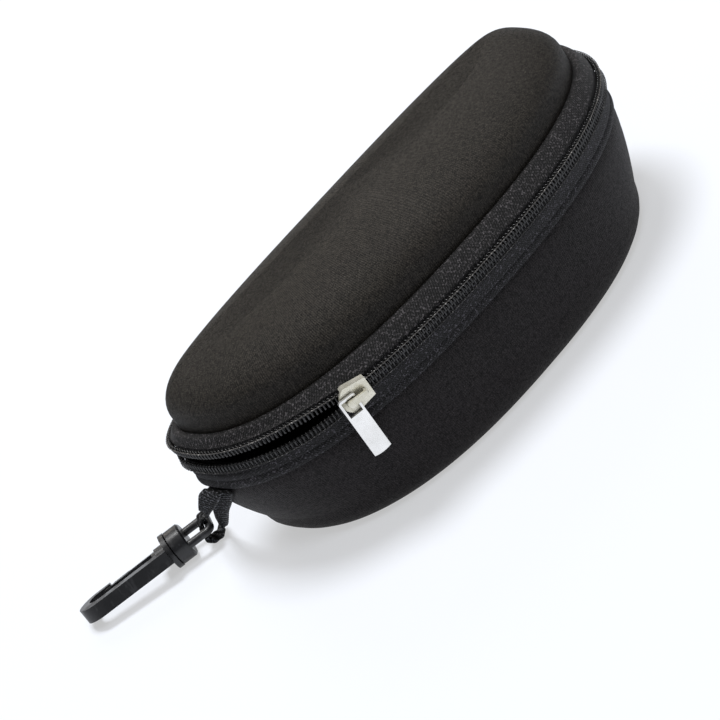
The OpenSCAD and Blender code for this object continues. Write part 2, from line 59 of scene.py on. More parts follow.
def make_camera():
    data = bpy.data.cameras.new("camera")
    data.lens = LENS
    data.sensor_width = SENSOR
    data.clip_start = 0.05
    data.clip_end = 20
    cam = bpy.data.objects.new("camera", data)
    cam.matrix_world = Matrix((
        (RIGHT.x, UP.x, BACK.x, EYE.x),
        (RIGHT.y, UP.y, BACK.y, EYE.y),
        (RIGHT.z, UP.z, BACK.z, EYE.z),
        (0, 0, 0, 1)))
    bpy.context.collection.objects.link(cam)
    bpy.context.scene.camera = cam


make_camera()

# ---------------------------------------------------------------- sizes, in millimetres
# An outline is [half length, front depth, back depth, front squareness, back squareness].
# A list of three is an inset or a swell at the ends, the front and the back.

# Outlines from the floor up to the lid's seam
HEEL_H, LOW_SEAM_H, RIM_H, HIGH_SEAM_H = 3.8, 28.7, 39.1, 45.5
RIM = np.array([81.5, 47.7, 26.6, 2.4, 2.35])
LOW_SEAM = RIM - [0.1, 3.1, 5.6, 0, 0]
HEEL = RIM - [11.8, 1.1, 7.9, 0, 0]
HIGH_SEAM = RIM - [2.3, 4.8, 7.0, 0, 0]
WALL_SWELL = np.array([1.6, 0.4, 0.6])
LEAST = 0.5  # no depth of an outline goes below this

# The base's wall, its soft edge under the seam, and its rounded foot
BASE_RIM_H = 32.6
BASE_LEVELS = (BASE_RIM_H, 31.5, 30, 29.2, 28.7, 28.2, 27.4, 26, 24, 21, 18, 15, 12, 9.5, 8.6)
SWELL_TOP, SWELL_FADE = 28.9, 2.2
FOOT_H = 8.0
FOOT_RUN = np.array([8.2, 5.6, 5.6])
FOOT_RUN_LOSS = 0.35
FOOT_STEPS = 8
FOOT_SHARES = (0.9, 0.72, 0.5, 0.25, 0.06)

# The lid's dome
LID_RIM_H = 44.3
LID_LEVELS = (48, 46.8, 45.6, 44.9, LID_RIM_H)
DOME_STEP = 2.0
DOME_H = 14.8
DOME_ROUND_H = 11.0
DOME_ROUND_IN = np.array([17.5, 28.6, 16.6])
DOME_ROUND_POWER = np.array([1, 1, 0.78])
DOME_MORE_N = np.array([0.4, 0.45])
CROWN_SHARES = (0.04, 0.25, 0.5, 0.75)
CROWN_IN, CROWN_TURN = 0.3, 0.7

# Layers of a shell, and the cloth and trim on it
COVER_T, FOAM_T, LINING_T = 0.8, 3.0, 0.7
SHELL_T = COVER_T + FOAM_T + LINING_T
LAYER_GAP = 0.02
COVER_SWELL = 0.5
UNDER_TAPE = 0.75
TAPE_T = 0.6
BINDING_T, BINDING_W = 0.6, 5
HINGE_LINING_T = 0.45

# The zip: coil, the slider's place and the opening to its left
COIL_T, COIL_W, PITCH, MESH = 1.4, 4.3, 1.2, 0.9
TAPE_IN = COIL_T / 2 + 0.03
SLIDER_AT, SLIDER_L = -50.8, 9
ZIP_END_X = 62.0
OPEN_SHIFT = 1.9
OPEN_AT = (-16, -9, -SLIDER_L / 2, -2.5, -0.8, 0.2)
OPEN_BY = (OPEN_SHIFT, OPEN_SHIFT * 0.85, 1.2, 0.75, 0.15, 0)
END_CLOSE, END_CLOSE_TO = 25, 0.2
COIL_MARGIN = 3


def edge(o, t):
    """Points of an outline at angles t in degrees; -90 is the front."""
    t = np.radians(np.asarray(t, float))
    s, c = np.sin(t), np.cos(t)
    front = s < 0
    e = 2 / np.where(front, o[3], o[4])
    d = np.where(front, o[1], o[2])
    x = o[0] * np.sign(c) * np.abs(c) ** e
    y = d * np.sign(s) * np.abs(s) ** e
    return np.stack([x, y], -1)


def inside(o, v):
    """The outline moved in by v at the ends, front and back, or by one depth."""
    return np.append(np.maximum(o[:3] - v, LEAST), o[3:])


def between(p, q, w):
    return p * (1 - w) + q * w


def wall(z):
    """Outer outline of the base wall and of the band at height z."""
    if z < HEEL_H:
        return HEEL
    if z < LOW_SEAM_H:
        w = (z - HEEL_H) / (LOW_SEAM_H - HEEL_H)
        return between(HEEL, LOW_SEAM, w) + np.append(4 * w * (1 - w) * WALL_SWELL, [0, 0])
    if z < RIM_H:
        return between(LOW_SEAM, RIM, (z - LOW_SEAM_H) / (RIM_H - LOW_SEAM_H))
    return between(RIM, HIGH_SEAM, (z - RIM_H) / (HIGH_SEAM_H - RIM_H))


def dome(a):
    """Outline of the lid's dome where its round part has turned by a degrees."""
    o = inside(HIGH_SEAM, DOME_STEP + DOME_ROUND_IN * (1 - math.cos(math.radians(a))) ** DOME_ROUND_POWER)
    o[3:] += DOME_MORE_N * math.sin(math.radians(a))
    return o


def dome_z(a):
    return HIGH_SEAM_H + DOME_H - DOME_ROUND_H * (1 - math.sin(math.radians(a)))


def run_along(points):
    """Distance run at each point of an open path."""
    return np.concatenate([[0], np.cumsum(np.linalg.norm(np.diff(points, axis=0), axis=1))])


# Outline angles, close together at the four quarter points where the outline turns fastest
QUARTER_STEPS = 360
FINE = np.append([q + 45 * (1 - math.cos(math.pi * i / QUARTER_STEPS))
                  for q in (-180, -90, 0, 90) for i in range(QUARTER_STEPS)], 180)
FINE_RUN = run_along(edge(RIM, FINE))
RIM_LEN = FINE_RUN[-1]
RUN_FRONT = np.interp(-90, FINE, FINE_RUN)


def t_at(s):
    """Outline angle at a distance s along the zip line from the middle of the front."""
    return np.interp(np.mod(np.asarray(s, float) + RUN_FRONT, RIM_LEN), FINE_RUN, FINE)


def rim_frame(s):
    """Zip line points, directions along it and outward directions."""
    s = np.asarray(s, float)
    p = edge(RIM, t_at(s))
    d = edge(RIM, t_at(s + 0.5)) - edge(RIM, t_at(s - 0.5))
    d /= np.linalg.norm(d, axis=-1, keepdims=True)
    return p, d, np.stack([d[..., 1], -d[..., 0]], -1)


ZIP_END_ANGLE = math.degrees(math.acos((ZIP_END_X / RIM[0]) ** (RIM[4] / 2)))
ZIP_HALF = float(np.interp(ZIP_END_ANGLE, FINE, FINE_RUN)) - RUN_FRONT


def apart(s):
    """How far each half of the zip stands off the zip line."""
    s = np.asarray(s, float)
    near = np.interp(s - SLIDER_AT, OPEN_AT, OPEN_BY)
    return near * np.interp(s, [-ZIP_HALF, -ZIP_HALF + END_CLOSE], [END_CLOSE_TO, 1])


# ---------------------------------------------------------------- meshes
def add_mesh(name, verts, faces, uv):
    """A smooth mesh object from points in millimetres. uv gives each face corner its place on the cloth."""
    me = bpy.data.meshes.new(name)
    me.from_pydata((np.asarray(verts) * MM).tolist(), [], [list(map(int, f)) for f in faces])
    me.validate()
    me.polygons.foreach_set("use_smooth", [True] * len(me.polygons))
    at = me.attributes.new("cloth", "FLOAT_VECTOR", "CORNER")
    at.data.foreach_set("vector", np.asarray(uv, float).ravel())
    ob = bpy.data.objects.new(name, me)
    bpy.context.collection.objects.link(ob)
    return ob


def loft(name, rings, u_at=None, hoop=False):
    """A skin through equal rings of points. A hoop joins its ends; any other skin gets two end faces."""
    rings = np.asarray(rings, float)
    m, n = rings.shape[:2]
    verts = rings.reshape(-1, 3)
    along = np.linalg.norm(np.diff(rings, axis=0), axis=2).mean(1)
    v_at = np.concatenate([[0], np.cumsum(along)])
    if u_at is None:
        around = np.linalg.norm(np.diff(np.concatenate([rings, rings[:, :1]], 1), axis=1), axis=2)
        u_at = np.concatenate([[0], np.cumsum(around.max(0))])
    faces, uv = [], []
    for j in range(m if hoop else m - 1):
        k = (j + 1) % m
        va, vb = v_at[j], v_at[j] + (v_at[k] - v_at[j] if k else along.mean())
        for i in range(n):
            h = (i + 1) % n
            faces.append([j * n + i, j * n + h, k * n + h, k * n + i])
            uv += [(u_at[i], va, 0), (u_at[i + 1], va, 0), (u_at[i + 1], vb, 0), (u_at[i], vb, 0)]
    if not hoop:
        for ring in (list(range(n))[::-1], list(range((m - 1) * n, m * n))):
            faces.append(ring)
            uv += [(verts[i][0], verts[i][1], 0) for i in ring]
    return add_mesh(name, verts, faces, uv)


# Stations of a ring round the whole rim: distances along it, and outline angles
RING_N = 300
RING_U = np.arange(RING_N + 1) / RING_N * RIM_LEN
RING_T = t_at(RING_U[:-1])


def smooth_path(points, rounds=2):
    """Cuts the corners of an open path of vectors, and keeps its two ends."""
    p = [np.asarray(q, float) for q in points]
    for _ in range(rounds):
        q = [p[0]]
        for a, b in zip(p[:-1], p[1:]):
            q += [between(a, b, 0.25), between(a, b, 0.75)]
        q.append(p[-1])
        p = q
    return p


# ---------------------------------------------------------------- shells
def shrunk(o, share):
    """The outline scaled towards its middle."""
    return np.append(o[:3] * share, o[3:])


def base_profile(d, swell=0.0):
    """Rings of the base at depth d, from the rim down to the middle of the foot: (outline, z)."""
    out = []
    for z in BASE_LEVELS:
        free = swell * min(max((SWELL_TOP - z) / SWELL_FADE, 0), 1)
        out.append((inside(wall(z), UNDER_TAPE + d - free), z))
    turn = inside(wall(FOOT_H), UNDER_TAPE + d - swell)
    run = FOOT_RUN - FOOT_RUN_LOSS * d
    for k in range(1, FOOT_STEPS + 1):
        a = math.radians(90 * k / FOOT_STEPS)
        out.append((inside(turn, run * (1 - math.cos(a))), d + (FOOT_H - d) * (1 - math.sin(a))))
    foot = out[-1][0]
    return out + [(shrunk(foot, share), d) for share in FOOT_SHARES]


def lid_profile(d):
    """Rings of the lid at depth d, from the middle of the crown down to the rim: (outline, z)."""
    crown = inside(dome(90), d * CROWN_IN)
    out = [(shrunk(crown, share), dome_z(90) - d) for share in CROWN_SHARES]
    for a in range(90, -1, -6):
        depth = d * math.cos(math.radians(a * CROWN_TURN))
        out.append((inside(dome(a), depth), dome_z(a) - d * math.sin(math.radians(a))))
    return out + [(inside(dome(0), d), z) for z in LID_LEVELS]


def rings_of(profile):
    """Rings of points round the whole rim, one for each outline and height."""
    return [np.column_stack([edge(o, RING_T), np.full(RING_N, z)]) for o, z in profile]


def shell(name, outer, inner):
    """Closed shell between an outer and an inner skin, both listed from the rim to the middle."""
    return loft(name, rings_of(outer[::-1] + inner), RING_U)


def base_layer(name, outer, inner, swell=0.0):
    return shell(name, base_profile(outer, swell), base_profile(inner))


def lid_layer(name, outer, inner):
    return shell(name, lid_profile(outer)[::-1], lid_profile(inner)[::-1])


FOAM_IN = COVER_T + FOAM_T
base_knit = base_layer("base_knit", 0, COVER_T, COVER_SWELL)
base_core = base_layer("base_core", COVER_T + LAYER_GAP, FOAM_IN)
base_plush = base_layer("base_plush", FOAM_IN + LAYER_GAP, SHELL_T)
lid_knit = lid_layer("lid_knit", 0, COVER_T)
lid_core = lid_layer("lid_core", COVER_T + LAYER_GAP, FOAM_IN)
lid_plush = lid_layer("lid_plush", FOAM_IN + LAYER_GAP, SHELL_T)


def rim_hoop(name, section):
    """Closed hoop of a rounded section of (outline, z) round the whole rim."""
    return loft(name, rings_of(section), RING_U, hoop=True)


def base_binding_section():
    """Tape folded over the base's rim, from its outer edge to the lower end of its inner leg and back."""
    t, top, low = BINDING_T, BASE_RIM_H, BASE_RIM_H - BINDING_W
    d = UNDER_TAPE
    full = d + SHELL_T
    pts = [(d, top), (d + 0.1, top + 0.45), (d + 0.6, top + t), (full - 0.4, top + t), (full + 0.35, top + 0.5),
           (full + t, top), (full + t, top - 2.2), (full + t, low + 0.5), (full + 0.45, low), (full, low),
           (full, low + 1), (full, top - 2), (full, top), (full - 1.5, top)]
    return [(inside(wall(min(z, top)), q), z) for q, z in pts][::-1]


def lid_binding_section():
    """Tape folded over the lid's rim, the same way, up to where the dome starts."""
    t, low, high = BINDING_T, LID_RIM_H, dome_z(0)
    full = SHELL_T
    pts = [(0, low), (0.1, low - 0.45), (0.6, low - t), (full - 0.4, low - t), (full + 0.35, low - 0.5),
           (full + t, low), (full + t, low + 2.2), (full + t, high - 0.5), (full + 0.45, high), (full, high),
           (full, high - 1), (full, low + 2), (full, low), (full - 1.5, low)]
    return [(inside(dome(0), q), z) for q, z in pts]


base_bind = rim_hoop("base_bind", base_binding_section())
lid_bind = rim_hoop("lid_bind", lid_binding_section())

# ---------------------------------------------------------------- tapes
TAPE_S = np.linspace(-ZIP_HALF, ZIP_HALF, 521)


def out_z(o, inset, z):
    """One profile point of a tape: its outline and its height in one vector."""
    return np.append(inside(o, inset), z)


def lower_face(gap):
    """Outer face of the lower tape where it stands off the zip line by gap: down to the seam."""
    face = [out_z(RIM, TAPE_IN, RIM_H - 0.3 - gap),
            out_z(RIM, TAPE_IN, RIM_H - 2.2 - gap * 0.8),
            out_z(RIM, TAPE_IN + 0.1, RIM_H - 3.6 - gap * 0.8),
            out_z(wall(33.6), 0.1, 33.6 - gap * 0.1),
            out_z(wall(32.2), 0.0, 32.2),
            out_z(wall(31.6), 0.28, 31.6),
            out_z(wall(31.3), 0.02, 31.3),
            out_z(wall(30.4), -0.32, 30.4),
            out_z(wall(29.5), -0.28, 29.5),
            out_z(wall(28.9), -0.05, 28.9),
            out_z(wall(28.75), 0.45, 28.75)]
    return smooth_path(face)


def upper_face(gap):
    """Outer face of the upper tape where it stands off the zip line by gap: from under the dome down."""
    face = [out_z(HIGH_SEAM, 1.85, HIGH_SEAM_H - 1.1),
            out_z(HIGH_SEAM, 1.45, HIGH_SEAM_H - 0.35),
            out_z(HIGH_SEAM, 0.6, HIGH_SEAM_H + 0.12),
            out_z(HIGH_SEAM, -0.3, HIGH_SEAM_H - 0.02),
            out_z(between(RIM, HIGH_SEAM, 0.62), -0.25, 43.8),
            out_z(between(RIM, HIGH_SEAM, 0.3), 0.05, 42.5 + gap * 0.35),
            out_z(RIM, TAPE_IN, RIM_H + 2.6 + gap * 0.8),
            out_z(RIM, TAPE_IN + 0.1, RIM_H + 1.6 + gap * 0.8),
            out_z(RIM, TAPE_IN, RIM_H + 0.3 + gap)]
    return smooth_path(face)


def strip_sides(along, across):
    """Side faces of a strip with one row of points per station, and their places on the cloth."""
    n = len(across) - 1
    faces, uv = [], []
    for j in range(len(along) - 1):
        for i in range(n):
            h = (i + 1) % n
            faces.append([j * n + i, (j + 1) * n + i, (j + 1) * n + h, j * n + h])
            uv += [(along[j], across[i], 0), (along[j + 1], across[i], 0),
                   (along[j + 1], across[i + 1], 0), (along[j], across[i + 1], 0)]
    return faces, uv


def strip_ends(m, n):
    """The two end faces of a strip with m rows of n points."""
    return [list(range(n)), [(m - 1) * n + i for i in range(n - 1, -1, -1)]]


def tape(name, face_of, stations, thick=TAPE_T):
    """Closed strip of cloth along the zip line; face_of gives its outer face for an opening."""
    rows = []
    for s in stations:
        face = face_of(float(apart(s)))
        back = [np.append(inside(f[:5], thick), f[5]) for f in face[::-1]]
        t = t_at(s)
        rows.append([np.append(edge(f[:5], t), f[5]) for f in face + back])
    rows = np.array(rows)
    m, n = rows.shape[:2]
    middle = rows[m // 2]
    across = run_along(np.concatenate([middle, middle[:1]]))
    faces, uv = strip_sides(stations, across)
    uv += [(stations[0], across[i], 0) for i in range(n)]
    uv += [(stations[-1], across[i], 0) for i in range(n - 1, -1, -1)]
    return add_mesh(name, rows.reshape(-1, 3), faces + strip_ends(m, n), uv)


low_tape = tape("low_tape", lower_face, TAPE_S)
high_tape = tape("high_tape", upper_face, TAPE_S)

# The fabric hinge runs between the two ends of the zip, and its faces take no gap
HINGE_S = np.linspace(ZIP_HALF + 0.05, RIM_LEN - ZIP_HALF - 0.05, 121)


def hinge_face(_gap):
    """Outer face of the hinge: the upper tape's foot, a soft crease at the rim and the lower tape's seam."""
    up, down = upper_face(0), lower_face(0)
    return up[:-6] + [out_z(RIM, 0.1, RIM_H + 0.8), out_z(RIM, 0.05, RIM_H - 0.2),
                      out_z(RIM, 0.15, RIM_H - 1.4)] + down[6:]


def hinge_lining_face(_gap):
    """Face of the lining inside the hinge, from the lid's binding down to the base's."""
    lid_in, base_in = SHELL_T + 0.9, UNDER_TAPE + SHELL_T + 0.9
    face = [out_z(dome(0), lid_in, dome_z(0) - 0.5), out_z(dome(0), lid_in, 46.5),
            out_z(dome(0), lid_in, LID_RIM_H - 0.4), out_z(dome(0), lid_in - 0.2, 42),
            out_z(wall(BASE_RIM_H), base_in - 0.8, 37), out_z(wall(BASE_RIM_H), base_in, BASE_RIM_H + 0.5),
            out_z(wall(31), base_in, 31), out_z(wall(28.4), base_in, 28.4)]
    return smooth_path(face)


back_hinge = tape("back_hinge", hinge_face, HINGE_S)
inner_hinge = tape("inner_hinge", hinge_lining_face, HINGE_S, HINGE_LINING_T)

# ---------------------------------------------------------------- coil
TOOTH_L = (COIL_W + MESH) / 2
TOOTH_N = int((2 * (ZIP_HALF - COIL_MARGIN)) // PITCH)
TOOTH_HEAD, TOOTH_BACK = -0.02, TOOTH_L - 0.3
# One turn of the filament: along, across, out, flat radius and tall radius
COIL_TURN = [
    (0.00, TOOTH_BACK - 0.15, 0.34, 0.27, 0.26), (0.0, TOOTH_BACK * 0.62, 0.42, 0.26, 0.25),
    (0.0, TOOTH_BACK * 0.3, 0.42, 0.27, 0.25), (0.0, TOOTH_HEAD + 0.42, 0.40, 0.33, 0.27),
    (0.0, TOOTH_HEAD + 0.16, 0.28, 0.38, 0.27), (0.0, TOOTH_HEAD + 0.05, 0.0, 0.39, 0.27),
    (0.0, TOOTH_HEAD + 0.16, -0.28, 0.37, 0.26), (0.04, TOOTH_HEAD + 0.45, -0.38, 0.3, 0.24),
    (0.2, TOOTH_BACK * 0.5, -0.38, 0.25, 0.22), (0.42, TOOTH_BACK - 0.2, -0.3, 0.25, 0.23),
    (0.5, TOOTH_BACK + 0.05, 0.0, 0.26, 0.24)]


def on_zip(s, y, z):
    """World points from distances along, up and out of the zip line."""
    p, _, out = rim_frame(s)
    p = p + out * np.asarray(z)[..., None]
    return np.column_stack([p, RIM_H + np.asarray(y)])


def tube(path, r_flat, r_tall, flat_dir, sides=8):
    """Rings of an oval tube along a path. flat_dir gives the direction of r_flat at each point."""
    path = np.asarray(path)
    along = np.gradient(path, axis=0)
    along /= np.linalg.norm(along, axis=1, keepdims=True)
    a = flat_dir - (flat_dir * along).sum(1, keepdims=True) * along
    a /= np.linalg.norm(a, axis=1, keepdims=True)
    b = np.cross(along, a)
    ang = np.arange(sides) / sides * 2 * np.pi
    c, s = np.cos(ang), np.sin(ang)
    return (path[:, None] + a[:, None] * (c[None, :, None] * np.asarray(r_flat)[:, None, None])
            + b[:, None] * (s[None, :, None] * np.asarray(r_tall)[:, None, None]))


def coil(name, up):
    """One continuous filament wound flat: a round head at the meeting line and a bend on the tape."""
    rows = []
    for i in range(TOOTH_N):
        start = -ZIP_HALF + COIL_MARGIN + (i + 0.5 + up / 4) * PITCH
        rows += [(start + ds, y, z, flat, tall) for ds, y, z, flat, tall in COIL_TURN]
    s, y, z, flat, tall = np.array(rows).T
    path = on_zip(s, up * (y - MESH / 2 + apart(s)), z)
    _, d, _ = rim_frame(s)
    return loft(name, tube(path, flat, tall, np.column_stack([d, np.zeros(len(d))])))


low_coil = coil("low_coil", -1)
high_coil = coil("high_coil", 1)


# Lock stitches: one per turn of the coil, each a short thread that dips into the tape at both ends
STITCH_R, STITCH_SIDES = 0.15, 6
STITCH_AT = TOOTH_L - MESH / 2 - 0.52
STITCH_OUT = COIL_T / 2 + 0.02
STITCH_HALF = 0.42
STITCH_LIFT = np.array([-0.35, 0.6, 1.0, 0.6, -0.35])


def stitch_row(name, up):
    """Row of lock stitches along a tape."""
    points, sides = len(STITCH_LIFT), STITCH_SIDES
    up_dir = np.tile([0, 0, 1.0], (points, 1))
    first, last = -ZIP_HALF + COIL_MARGIN, ZIP_HALF - COIL_MARGIN
    verts, faces = [], []
    for i in range(int((last - first) / PITCH)):
        s = first + (i + 0.5) * PITCH
        ss = s + np.linspace(-STITCH_HALF, STITCH_HALF, points) * PITCH
        y = np.full(points, up * (STITCH_AT + float(apart(s))))
        path = on_zip(ss, y, STITCH_OUT + STITCH_LIFT * STITCH_R)
        rings = tube(path, np.full(points, STITCH_R * 1.15), np.full(points, STITCH_R), up_dir, sides)
        k = len(verts)
        verts += list(rings.reshape(-1, 3))
        for a in range(points - 1):
            for b in range(sides):
                faces.append([k + a * sides + b, k + a * sides + (b + 1) % sides,
                              k + (a + 1) * sides + (b + 1) % sides, k + (a + 1) * sides + b])
        faces.append([k + b for b in range(sides)][::-1])
        faces.append([k + (points - 1) * sides + b for b in range(sides)])
    return add_mesh(name, verts, faces, [(0, 0, 0)] * sum(len(f) for f in faces))


low_stitch = stitch_row("low_stitch", -1)
high_stitch = stitch_row("high_stitch", 1)

# ---------------------------------------------------------------- webbing
HOOK_POS = np.array([-88.8, 31.8, 5.55])
YAW, PITCH_DOWN = math.radians(153), math.radians(3)
HOOK_DIR = np.array([math.cos(YAW) * math.cos(PITCH_DOWN), math.sin(YAW) * math.cos(PITCH_DOWN),
                     -math.sin(PITCH_DOWN)])
BAR_REACH = 12.1  # from the hook's own origin back to the eye's bar
BAR = HOOK_POS - BAR_REACH * HOOK_DIR
ALONG_HOOK = np.array([math.cos(YAW), math.sin(YAW), 0])
ALONG_BAR = np.array([math.sin(YAW), -math.cos(YAW), 0])
STRAP_W, STRAP_T, STRAP_SKIN = 9.6, 1.1, 0.05
# Stations of the webbing from its seam to the eye, and back: middle, half width, across and outward
STRAP_OVER = [
    ([-82.5, -3.2, 28.9], 4.2, [0, 1, 0], [-1, 0, 0]),
    ([-82.9, -0.3, 26.8], 4.8, [-0.04, 1, 0], [-1, 0, 0]),
    ([-82.55, 4.9, 22.7], 4.3, [-0.06, 1, -0.03], [-1, 0, 0.1]),
    ([-81.6, 11.9, 17.7], 2.9, [-0.02, 1, 0], [-0.97, 0, 0.25]),
    ([-79.4, 19.6, 12.7], 2.4, [0.25, 0.95, -0.05], [-0.6, 0.1, 0.75])]
STRAP_UNDER = [
    ([-77.4, 18.6, 8.2], 2.5, [0.1, 0.92, 0.38], [0.9, -0.2, -0.4]),
    ([-79.3, 9.3, 15.9], 3.1, [-0.1, 0.98, 0.15], [0.97, 0, -0.2]),
    ([-80.75, 1.0, 22.4], 4.7, [-0.06, 1, 0], [1, 0, -0.1]),
    ([-81.65, -5.6, 28.6], 5.8, [0, 1, 0], [1, 0, 0])]
# The bend round the bar: towards the hook, up, half width, and the angle that its outside faces
STRAP_BEND = [
    (-0.9, 2.7, 2.3, 105), (1.0, 2.2, 2.3, 62), (2.1, 0.4, 2.3, 12), (2.7, -2.2, 2.3, 5),
    (2.3, -4.2, 2.3, -45), (0.5, -4.9, 2.3, -90), (-1.6, -4.3, 2.6, -130), (-2.7, -2.6, 2.8, -160)]
STRAP_STEPS, STRAP_ACROSS = 56, 24
RIB_PITCH, RIB_H, RIB_LEAN = 2.1, 0.16, 0.42
# The webbing curls where it is drawn in, and thins towards its two woven edges
CURL, CURL_OVER, CURL_LEVEL = 0.6, 2.6, 0.4
EDGE_THIN, EDGE_POWER = 0.35, 10


def unit(v):
    v = np.asarray(v, float)
    return v / np.linalg.norm(v)


def catmull(values, steps):
    """Smooth values through a list of vectors."""
    v = np.asarray(values, float)
    v = np.concatenate([[2 * v[0] - v[1]], v, [2 * v[-1] - v[-2]]])
    out = []
    for i in range(1, len(v) - 2):
        for k in range(steps):
            t = k / steps
            p0, p1, p2, p3 = v[i - 1], v[i], v[i + 1], v[i + 2]
            out.append(0.5 * (2 * p1 + (p2 - p0) * t + (2 * p0 - 5 * p1 + 4 * p2 - p3) * t * t
                              + (3 * p1 - p0 - 3 * p2 + p3) * t ** 3))
    out.append(v[-2])
    return np.array(out)


def strap_station(middle, half, across, out):
    """One station in one vector: middle, half width, direction across and direction outward."""
    return np.concatenate([middle, [half], unit(across), unit(out)])


def webbing():
    """The doubled webbing in one strip: down the hook side, round the bar and up again."""
    rows = [strap_station(*station) for station in STRAP_OVER]
    for toward, high, half, turn in STRAP_BEND:
        out = math.cos(math.radians(turn)) * ALONG_HOOK + np.array([0, 0, math.sin(math.radians(turn))])
        rows.append(strap_station(BAR + toward * ALONG_HOOK + np.array([0, 0, high]), half, ALONG_BAR, out))
    rows += [strap_station(*station) for station in STRAP_UNDER]
    table = catmull(rows, STRAP_STEPS)
    run = run_along(table[:, :3])
    w = np.linspace(-1, 1, STRAP_ACROSS)
    full = STRAP_W / 2
    edge_soft = EDGE_THIN + (1 - EDGE_THIN) * np.sqrt(np.clip(1 - np.abs(w) ** EDGE_POWER, 0, 1))
    rings = []
    for row, at in zip(table, run):
        c, half, across, out = row[:3], row[3], unit(row[4:7]), row[7:10]
        out = unit(out - (out @ across) * across)
        curl = (full - min(half, full)) / CURL_OVER * CURL * (w ** 2 - CURL_LEVEL)
        rib = RIB_H * np.sin(2 * math.pi * (at + RIB_LEAN * full * (w + 1)) / RIB_PITCH)
        thick = (STRAP_T / 2 - STRAP_SKIN + rib) * edge_soft
        flat = c + np.outer(w * half, across)
        under, over = flat + np.outer(curl - thick, out), flat + np.outer(curl + thick, out)
        rings.append(np.concatenate([under, over[::-1]]))
    rings = np.array(rings)
    m, n = rings.shape[:2]
    wide = np.linspace(0, STRAP_W, STRAP_ACROSS)
    faces, uv = strip_sides(run, np.concatenate([wide, wide[::-1], [0]]))
    return add_mesh("webbing_strip", rings.reshape(-1, 3), faces + strip_ends(m, n), uv + [(0, 0, 0)] * (2 * n))


strap = webbing()

# ---------------------------------------------------------------- materials
def srgb(r, g, b):
    """Linear colour from display values of 0 to 255."""
    def linear(v):
        return v / 12.92 if v <= 0.04045 else ((v + 0.055) / 1.055) ** 2.4
    return (linear(r / 255), linear(g / 255), linear(b / 255), 1.0)


class Sockets:
    """Makes and links nodes in one tree."""

    def __init__(self, tree):
        self.tree = tree

    def node(self, kind, **values):
        n = self.tree.nodes.new(kind)
        for key, value in values.items():
            setattr(n, key, value)
        return n

    def put(self, socket, value):
        if isinstance(value, bpy.types.NodeSocket):
            self.tree.links.new(value, socket)
        else:
            socket.default_value = value

    def maths(self, op, a, b=0.0, c=None):
        n = self.node("ShaderNodeMath", operation=op)
        self.put(n.inputs[0], a)
        self.put(n.inputs[1], b)
        if c is not None:
            self.put(n.inputs[2], c)
        return n.outputs[0]

    def wave(self, turns):
        """Sine of a number of turns, brought to 0 to 1."""
        sine = self.maths("SINE", self.maths("MULTIPLY", turns, 2 * math.pi))
        return self.maths("MULTIPLY_ADD", sine, 0.5, 0.5)

    def spread(self, value, lo, hi, to_lo=0.0, to_hi=1.0):
        """Smooth step from to_lo at lo to to_hi at hi."""
        n = self.node("ShaderNodeMapRange", interpolation_type="SMOOTHSTEP")
        for socket, v in zip(n.inputs[:5], (value, lo, hi, to_lo, to_hi)):
            self.put(socket, v)
        return n.outputs[0]

    def noise(self, vector, scale, detail=2.0, rough=0.5):
        n = self.node("ShaderNodeTexNoise")
        self.put(n.inputs["Vector"], vector)
        self.put(n.inputs["Scale"], scale)
        self.put(n.inputs["Detail"], detail)
        self.put(n.inputs["Roughness"], rough)
        return n.outputs["Fac"]

    def mix(self, fac, a, b):
        n = self.node("ShaderNodeMix", data_type="RGBA")
        self.put(n.inputs[0], fac)
        self.put(n.inputs[6], a)
        self.put(n.inputs[7], b)
        return n.outputs[2]

    def split(self, vector):
        n = self.node("ShaderNodeSeparateXYZ")
        self.put(n.inputs[0], vector)
        return n.outputs


def group(name, ins, outs):
    """Empty shader group with named float, vector or colour sockets."""
    g = bpy.data.node_groups.new(name, "ShaderNodeTree")
    kinds = {"v": "NodeSocketVector", "f": "NodeSocketFloat", "c": "NodeSocketColor"}
    for label, kind, default in ins:
        s = g.interface.new_socket(name=label, in_out="INPUT", socket_type=kinds[kind])
        if default is not None:
            s.default_value = default
    for label, kind in outs:
        g.interface.new_socket(name=label, in_out="OUTPUT", socket_type=kinds[kind])
    sock = Sockets(g)
    return g, sock, sock.node("NodeGroupInput").outputs, sock.node("NodeGroupOutput").inputs


def make_weave():
    """Diagonal woven threads: pitch across the diagonals and length of each float, in mm."""
    g, s, i, o = group("weave", [("Cloth", "v", None), ("Pitch", "f", 0.9), ("Lean", "f", 0.6),
                                 ("Float", "f", 1.2)], [("Height", "f")])
    u, v, _ = s.split(i["Cloth"])
    lean = s.maths("MULTIPLY_ADD", v, i["Lean"], u)
    a = s.maths("DIVIDE", lean, i["Pitch"])
    ridge = s.wave(a)
    row = s.maths("FLOOR", a)
    b = s.maths("ADD", s.maths("DIVIDE", v, i["Float"]), s.maths("MULTIPLY", row, 0.37))
    knob = s.wave(b)
    s.put(o["Height"], s.maths("MULTIPLY", ridge, s.maths("MULTIPLY_ADD", knob, 0.55, 0.45)))
    return g


